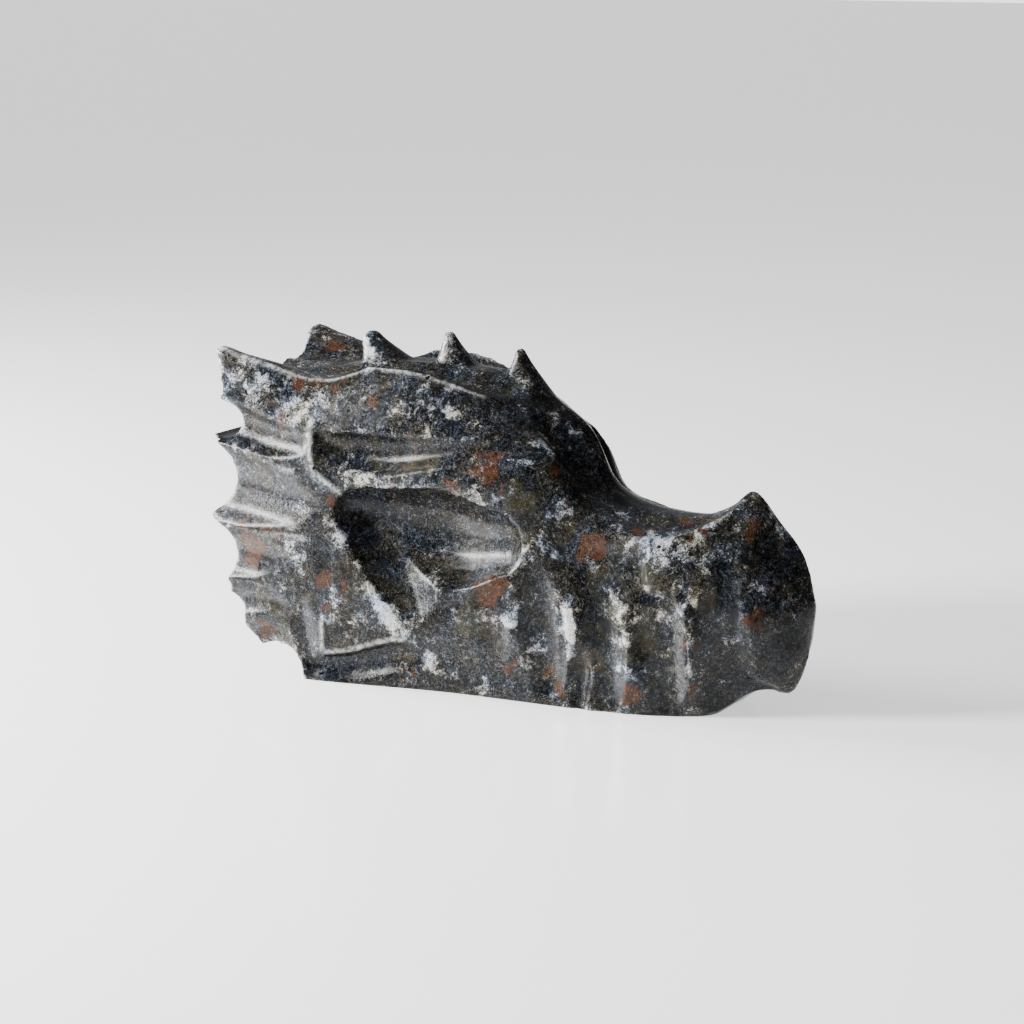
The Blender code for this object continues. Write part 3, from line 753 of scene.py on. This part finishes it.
def on_stone(skull, spots):
    """Spots of the picture as (x, y, z, radius, strength), where the camera sees them on the stone."""
    back, right, up = camera_axes()
    found = []
    for column, row, radius, strength in spots:
        across = (column - PICTURE_SIDE / 2) / PIXELS_PER_MM
        down = (row - PICTURE_SIDE / 2) / PIXELS_PER_MM
        sight = right * across - up * down - back * CAMERA_DISTANCE
        seen, place, _, _ = skull.ray_cast(camera_place() * MM, sight.normalized())
        if seen:
            found.append((*(place / MM), radius / PIXELS_PER_MM, strength))
    return found


def wander(place):
    """A smooth small shift that is different from place to place, and the same each time."""
    return Vector([noise.noise(place + Vector(apart)) for apart in WANDER_APART])


def ragged(points):
    """The points moved about a little, so that a round spot gets the outline of a mineral grain."""
    moved = []
    for point in points:
        place = Vector(point)
        wide = wander(place / WIDE_BEND) * WIDE_REACH
        narrow = wander(place / NARROW_BEND) * NARROW_REACH
        moved.append(place + wide + narrow)
    return np.array(moved)


def cover(points, spots):
    """How far each point is inside the spots: 1 in the middle, 0.5 at the edge, 0 well outside."""
    found = np.zeros(len(points))
    for x, y, z, radius, strength in spots:
        away = np.linalg.norm(points - (x, y, z), axis=1) / radius
        found = np.maximum(found, strength * np.clip(SPOT_FADE - away, 0, 1))
    return found


def traced(points, path, width):
    """How near each point is to a line along the surface: 1 on the line, fading over its width."""
    found = np.zeros(len(points))
    for start, end in zip(path, path[1:]):
        start, end = np.array(start), np.array(end)
        along = end - start
        t = np.clip((points - start) @ along / (along @ along), 0, 1)[:, None]
        away = np.linalg.norm(points - start - t * along, axis=1) / width
        found = np.maximum(found, np.exp(-away * away))
    return found


def edge_lines():
    """The thin painted highlight lines along the sharpest edges of the near side."""
    lines = [ridge_top(FINE_RIDGES[name]) for name in HIGHLIGHTED_RIDGES]
    return [*lines, *RIDGE_HIGHLIGHT_LINES]


def relief(mesh, points, passes):
    """How far each point stands out of the smoothed surface round it: edges above 0, grooves below."""
    ends = np.empty(len(mesh.edges) * 2, np.int32)
    mesh.edges.foreach_get("vertices", ends)
    a, b = ends.reshape(-1, 2).T
    count = np.bincount(np.concatenate([a, b]), minlength=len(points))[:, None]
    smooth = points.copy()
    for _ in range(passes):
        total = np.zeros_like(smooth)
        for axis in range(3):
            total[:, axis] = np.bincount(a, smooth[b, axis], len(points))
            total[:, axis] += np.bincount(b, smooth[a, axis], len(points))
        smooth = total / count
    normals = np.empty(len(points) * 3, np.float32)
    mesh.vertex_normals.foreach_get("vector", normals)
    return ((points - smooth) * normals.reshape(-1, 3)).sum(axis=1)


def on_both_sides(points, spots):
    """How far each point is inside the spots or their mirror images."""
    return np.maximum(cover(points, spots), cover(points * (1, -1, 1), spots))


def keep_marks(mesh, name, *channels):
    """Keeps three numbers for each point of the surface under a name."""
    values = np.ones((len(mesh.vertices), 4), np.float32)
    values[:, :3] = np.stack(channels, axis=1)
    attribute = mesh.attributes.new(name, "FLOAT_COLOR", "POINT")
    attribute.data.foreach_set("color", values.reshape(-1))


def mark_stone(skull):
    """Writes where the coloured places, edges and grooves are on the surface, for the material to read."""
    mesh = skull.data
    points = np.empty(len(mesh.vertices) * 3, np.float32)
    mesh.vertices.foreach_get("co", points)
    points = points.reshape(-1, 3).astype(np.float64) / MM
    near_side = points.copy()
    near_side[:, 1] = -np.abs(points[:, 1])
    # Painted highlight lines along the ridges and edges.
    worn = [traced(near_side, line, LINE_WIDTH) for line in edge_lines()]
    # Edges and raised forms for painted light, grooves for painted shade, and the painted highlight lines.
    keep_marks(
        mesh,
        "relief",
        np.clip(0.5 + relief(mesh, points, EDGE_PASSES) * EDGE_GAIN, 0, 1),
        np.clip(0.5 + relief(mesh, points, FORM_PASSES) * FORM_GAIN, 0, 1),
        np.max(worn, axis=0),
    )
    points = ragged(points)
    spots = (BROWN_SPOTS, WHITE_AND_SHEEN_SPOTS, DARK_STONE_AND_SHADE_SPOTS)
    keep_marks(mesh, "spots", *(on_both_sides(points, on_stone(skull, group)) for group in spots))
    tints = (OLIVE_SPOTS, BLACK_SPOTS, [])
    keep_marks(mesh, "tints", *(on_both_sides(points, on_stone(skull, group)) for group in tints))


class Nodes:
    """A short way to write a material's nodes."""

    def __init__(self, name):
        self.material = bpy.data.materials.new(name)
        self.material.use_nodes = True
        self.tree = self.material.node_tree
        self.shader = self.tree.nodes["Principled BSDF"]

    def add(self, kind, inputs, out=0, **settings):
        made = self.tree.nodes.new(kind)
        for key, value in settings.items():
            setattr(made, key, value)
        for key, value in inputs.items():
            self.put(made.inputs[key], value)
        return made.outputs[out]

    def put(self, socket, value):
        if isinstance(value, bpy.types.NodeSocket):
            self.tree.links.new(value, socket)
        else:
            socket.default_value = value

    def math(self, operation, a, b):
        return self.add("ShaderNodeMath", {0: a, 1: b}, operation=operation)

    def vector(self, operation, a, b):
        return self.add("ShaderNodeVectorMath", {0: a, 1: b}, operation=operation)

    def moved(self, place, by):
        return self.vector("ADD", place, by)

    def noise(self, place, scale, detail, roughness, out="Fac"):
        inputs = {"Vector": place, "Scale": scale, "Detail": detail, "Roughness": roughness}
        return self.add("ShaderNodeTexNoise", inputs, out)

    def jumbled(self, place, scale, roughness, reach):
        """The place moved about by a noise, so that what is drawn there gets a ragged outline."""
        shift = self.noise(place, scale, JUMBLE_DETAIL, roughness, "Color")
        shift = self.vector("SUBTRACT", shift, (0.5, 0.5, 0.5))
        return self.moved(place, self.vector("MULTIPLY", shift, (reach, reach, reach)))

    def cells(self, place, scale):
        """A number of its own for each grain of this size."""
        inputs = {"Vector": place, "Scale": scale}
        colour = self.add("ShaderNodeTexVoronoi", inputs, "Color")
        return self.add("ShaderNodeSeparateColor", {"Color": colour})

    def marks(self, name):
        """The three numbers that the surface keeps under this name."""
        colour = self.add("ShaderNodeAttribute", {}, "Color", attribute_name=name)
        return self.add("ShaderNodeSeparateColor", {"Color": colour}).node.outputs

    def step(self, value, low, high, start=0.0, end=1.0):
        inputs = {"Value": value, "From Min": low, "From Max": high, "To Min": start, "To Max": end}
        return self.add("ShaderNodeMapRange", inputs, interpolation_type="SMOOTHSTEP")

    def blend(self, share, a, b):
        inputs = {"Factor": share, 6: a, 7: b}
        return self.add("ShaderNodeMix", inputs, 2, data_type="RGBA")

    def tinted(self, colour, tint):
        inputs = {"Factor": 1.0, 6: colour, 7: tint}
        return self.add("ShaderNodeMix", inputs, 2, data_type="RGBA", blend_type="MULTIPLY")

    def ramp(self, value, first, last, *between):
        """The colour for a value, between stops of (position, colour)."""
        colour = self.add("ShaderNodeValToRGB", {"Fac": value})
        stops = colour.node.color_ramp.elements
        for stop, (position, shade) in zip(stops, (first, last)):
            stop.position = position
            stop.color = shade
        for position, shade in between:
            stops.new(position).color = shade
        return colour

    def sum(self, base, *terms):
        """base plus each (value, weight)."""
        total = base
        for value, weight in terms:
            total = self.add("ShaderNodeMath", {0: value, 1: weight, 2: total}, operation="MULTIPLY_ADD")
        return total


def stone_fields(n):
    """What the surface keeps about each place, and the noises from broad clouds down to fine dust."""
    f = SimpleNamespace()
    f.place = n.vector("MULTIPLY", n.add("ShaderNodeTexCoord", {}, "Object"), (1 / MM, 1 / MM, 1 / MM))
    f.loose = n.jumbled(f.place, 0.35, 0.6, 4)
    f.rough = n.jumbled(f.place, 1.1, 0.7, 1.2)
    f.brown_mark, f.white_mark, f.dark_mark = n.marks("spots")
    f.olive_mark, f.black_mark, _ = n.marks("tints")
    edge, form, f.worn_mark = n.marks("relief")
    f.edge = n.math("SUBTRACT", edge, 0.5)
    f.form = n.math("SUBTRACT", form, 0.5)
    f.clouds = n.noise(f.loose, CLOUD_SCALE, 5, 0.6)
    f.patches = n.noise(f.loose, PATCH_SCALE, 5, 0.65)
    f.mottle = n.noise(n.moved(f.place, (40, 12, 7)), MOTTLE_SCALE, 4, 0.7)
    f.grain = n.cells(f.rough, GRAIN_SCALE)
    f.dust = n.cells(f.rough, DUST_SCALE)
    f.crystals = n.cells(n.moved(f.loose, (11, 5, 2)), CRYSTAL_SCALE)
    fine = n.noise(n.moved(f.place, (17, 3, 29)), FINE_SCALE, 3, 0.75)
    f.fine = n.step(fine, *SPECKLE_RANGE)
    coarse = n.noise(n.moved(f.loose, (3, 37, 9)), COARSE_SCALE, 4, 0.75)
    f.coarse = n.step(coarse, *SPECKLE_RANGE)
    return f


def pale_grains(n, f):
    """Adds the shares of the pale grains, thick in the white clouds and thin elsewhere, more on raised edges
    and forms as painted light, fewer in grooves as painted shade.
    """
    thick = n.sum(
        PALE_BASE,
        (f.clouds, 1.5),
        (f.patches, 1.8),
        (f.crystals, 0.22),
        # The white spots add painted sheen as well as pale stone, the dark spots add painted shade, and edge
        # and form paint raised places lighter and grooves darker.
        (f.white_mark, 0.42),
        (f.dark_mark, -0.42),
        (f.edge, 0.35),
        (f.form, 0.42),
    )
    f.thick = n.step(thick, -0.1, 0.80, 0.0, PALE_MOST)
    pale = n.sum(
        0.0,
        (f.thick, 1.0),
        (f.fine, 0.34),
        (f.coarse, 0.28),
        (f.grain, 0.08),
        (f.dust, 0.06),
        (f.black_mark, -0.9),
    )
    f.white = n.step(pale, 0.58, 0.92)
    f.grey = n.step(pale, 0.34, 0.64)
    f.veil = n.step(n.sum(0.0, (f.thick, 1.0), (f.coarse, 0.10), (f.fine, 0.05)), 0.14, 0.44)


def ground_colour(n, f):
    """The dark ground with olive patches and a grey haze. Its hue wanders between blue-grey and olive."""
    shade = n.sum(-0.11, (f.mottle, 0.8), (f.crystals, 0.20), (f.coarse, 0.2))
    ground = n.ramp(shade, (0.34, GROUND_DARK), (0.70, GROUND_PALE), (0.50, GROUND_MIDDLE))
    olive_noise = n.noise(n.moved(f.loose, (9, 70, 3)), 0.3, 4, 0.6)
    olive_share = n.step(n.sum(0.0, (f.olive_mark, 0.6), (olive_noise, 1.0)), 0.50, 0.74)
    olive = n.blend(f.mottle, OLIVE_DARK, OLIVE_PALE)
    colour = n.blend(n.math("MULTIPLY", olive_share, 0.75), ground, olive)
    # The haze follows the pale grains, so it carries their painted light and shade too.
    haze = n.blend(n.step(f.thick, 0.20, PALE_MOST), HAZE_DARK, HAZE_PALE)
    colour = n.blend(n.math("MULTIPLY", f.veil, 0.8), colour, haze)
    colour = n.blend(n.math("MULTIPLY", f.grey, 0.5), colour, GREY)
    return n.tinted(colour, n.blend(f.warmth, COOL_TINT, WARM_TINT))


def with_brown_and_white(n, f, colour):
    """The colour with the brown grains, and the white ones that mostly keep off them."""
    brown_noise = n.noise(n.moved(f.loose, (31, 5, 90)), 0.26, 4, 0.6)
    brown_share = n.sum(
        0.0,
        (f.brown_mark, 1.0),
        (n.math("SUBTRACT", f.patches, 0.5), 0.8),
        (n.step(brown_noise, 0.66, 0.8), 0.5),
    )
    brown_share = n.step(brown_share, 0.30, 0.58)
    shade = n.sum(0.0, (f.fine, 0.5), (f.grain, 0.25), (f.mottle, 0.25))
    brown = n.ramp(shade, (0.2, BROWN_DARK), (0.8, BROWN_PALE))
    colour = n.blend(n.math("MULTIPLY", brown_share, 0.88), colour, brown)
    white_share = n.math("MULTIPLY", f.white, n.sum(0.9, (brown_share, -0.7)))
    return n.blend(white_share, colour, n.blend(f.warmth, COOL_WHITE, WARM_WHITE))


def with_veins(n, f, colour):
    """The colour with thin pale veins and scratches, in some places only."""
    for move, scale, width, stretch in VEINS:
        along = n.vector("MULTIPLY", n.moved(f.loose, move), stretch)
        ridge = n.math("SUBTRACT", n.noise(along, scale, 3, 0.55), 0.5)
        line = n.step(n.math("ABSOLUTE", ridge, 0.0), 0.0, width, 1.0, 0.0)
        gate = n.step(n.noise(n.moved(f.place, move), 0.22, 3, 0.6), 0.56, 0.68)
        share = n.math("MULTIPLY", line, n.math("MULTIPLY", gate, 0.45))
        colour = n.blend(share, colour, VEIN_COLOUR)
    return colour


def with_ridge_highlight_shade_and_black(n, f, colour):
    """The colour with painted highlight lines along the ridges, painted shade and dark stone in the dark
    spots, and small black grains.
    """
    # Painted highlight along the ridge lines.
    worn = n.math("MULTIPLY", f.worn_mark, n.step(f.coarse, 0.0, 0.8, 0.15, 0.75))
    colour = n.blend(worn, colour, RIDGE_HIGHLIGHT_COLOUR)
    # Painted shade, and some dark stone, in the dark spots.
    colour = n.tinted(colour, n.blend(n.math("MULTIPLY", f.dark_mark, 0.75), PLAIN, DARK_AND_SHADE_TINT))
    away = n.add("ShaderNodeTexVoronoi", {"Vector": f.rough, "Scale": DOT_SCALE}, "Distance")
    chosen = n.step(n.cells(f.rough, DOT_SCALE), 0.45, 0.55)
    dots = n.math("MULTIPLY", n.step(away, 0.13, 0.22, 1.0, 0.0), chosen)
    black_share = n.sum(
        0.0,
        (f.black_mark, 1.0),
        (n.math("SUBTRACT", f.patches, 0.5), 0.6),
        (dots, 0.8),
    )
    return n.blend(n.step(black_share, 0.35, 0.5), colour, BLACK)


def stone_material():
    """Dark polished stone: fine pale and black grains in clouds, brown and olive patches, thin pale veins."""
    n = Nodes("speckled_stone")
    f = stone_fields(n)
    f.warmth = n.step(n.noise(n.moved(f.loose, (71, 33, 8)), 0.20, 4, 0.6), 0.36, 0.64)
    pale_grains(n, f)
    colour = ground_colour(n, f)
    colour = with_brown_and_white(n, f, colour)
    colour = with_veins(n, f, colour)
    n.put(n.shader.inputs["Base Color"], with_ridge_highlight_shade_and_black(n, f, colour))
    roughness = n.sum(0.13, (f.coarse, 0.06), (f.fine, 0.05), (f.white, 0.05), (f.dark_mark, -0.08))
    n.put(n.shader.inputs["Roughness"], roughness)
    n.shader.inputs["IOR"].default_value = STONE_IOR
    shine = n.sum(0.11, (f.fine, 0.10), (f.coarse, 0.06), (f.dark_mark, -0.08))
    n.put(n.shader.inputs["Specular IOR Level"], shine)
    height = n.sum(0.0, (f.fine, 0.35), (f.coarse, 0.35), (f.grain, 0.2), (f.dust, 0.1))
    inputs = {"Height": height, "Strength": BUMP_STRENGTH, "Distance": BUMP_HEIGHT}
    n.put(n.shader.inputs["Normal"], n.add("ShaderNodeBump", inputs, "Normal"))
    return n.material


def place_camera():
    data = bpy.data.cameras.new("camera")
    camera = link(bpy.data.objects.new("camera", data), bpy.context.scene.collection)
    camera.location = camera_place() * MM
    camera.rotation_mode = "QUATERNION"
    camera.rotation_quaternion = (-camera_axes()[0]).to_track_quat("-Z", "Y")
    data.sensor_width = CAMERA_SENSOR
    data.lens = CAMERA_SENSOR * PIXELS_PER_MM * CAMERA_DISTANCE / PICTURE_SIDE
    data.clip_start = NEAREST_SEEN
    data.clip_end = FARTHEST_SEEN
    bpy.context.scene.camera = camera


def soft_light(name, place, width, height, power):
    data = bpy.data.lights.new(name, "AREA")
    data.shape = "RECTANGLE"
    data.size = width * MM
    data.size_y = height * MM
    data.energy = power
    light = link(bpy.data.objects.new(name, data), bpy.context.scene.collection)
    light.location = Vector(place) * MM
    light.rotation_mode = "QUATERNION"
    light.rotation_quaternion = ((Vector(LIGHT_AIM) - Vector(place)) * MM).to_track_quat("-Z", "Y")


def pale_floor():
    bpy.ops.mesh.primitive_plane_add(size=FLOOR_SIDE, location=(0, 0, 0))
    floor = bpy.context.object
    floor.name = "floor"
    n = Nodes("pale_floor")
    n.shader.inputs["Base Color"].default_value = FLOOR_COLOUR
    n.shader.inputs["Roughness"].default_value = FLOOR_ROUGHNESS
    n.shader.inputs["Emission Color"].default_value = PLAIN
    n.shader.inputs["Emission Strength"].default_value = FLOOR_GLOW
    floor.data.materials.append(n.material)


def room():
    """Soft light from all round, strongest from the bright side, with an even wall behind the object."""
    world = bpy.data.worlds.new("studio")
    bpy.context.scene.world = world
    world.use_nodes = True
    tree = world.node_tree
    background = tree.nodes["Background"]
    background.inputs["Color"].default_value = WALL_COLOUR
    direction = tree.nodes.new("ShaderNodeTexCoord").outputs["Generated"]
    facing = tree.nodes.new("ShaderNodeVectorMath")
    facing.operation = "DOT_PRODUCT"
    tree.links.new(direction, facing.inputs[0])
    facing.inputs[1].default_value = BRIGHT_SIDE
    strength = tree.nodes.new("ShaderNodeMapRange")
    strength.interpolation_type = "SMOOTHSTEP"
    tree.links.new(facing.outputs["Value"], strength.inputs["Value"])
    strength.inputs["From Min"].default_value = DARK_FROM
    strength.inputs["From Max"].default_value = BRIGHT_FROM
    strength.inputs["To Min"].default_value = DARK_SIDE_STRENGTH
    strength.inputs["To Max"].default_value = BRIGHT_SIDE_STRENGTH
    seen = tree.nodes.new("ShaderNodeLightPath").outputs["Is Camera Ray"]
    wall = tree.nodes.new("ShaderNodeMix")
    tree.links.new(seen, wall.inputs["Factor"])
    tree.links.new(strength.outputs["Result"], wall.inputs["A"])
    wall.inputs["B"].default_value = WALL_STRENGTH
    tree.links.new(wall.outputs["Result"], background.inputs["Strength"])


place_camera()
skull = sculpt()
bpy.context.view_layer.update()
mark_stone(skull)
skull.data.materials.append(stone_material())
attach(skull, "root")
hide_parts("dragon_skull")
pale_floor()
room()
for name, light in LIGHTS.items():
    soft_light(name, *light)
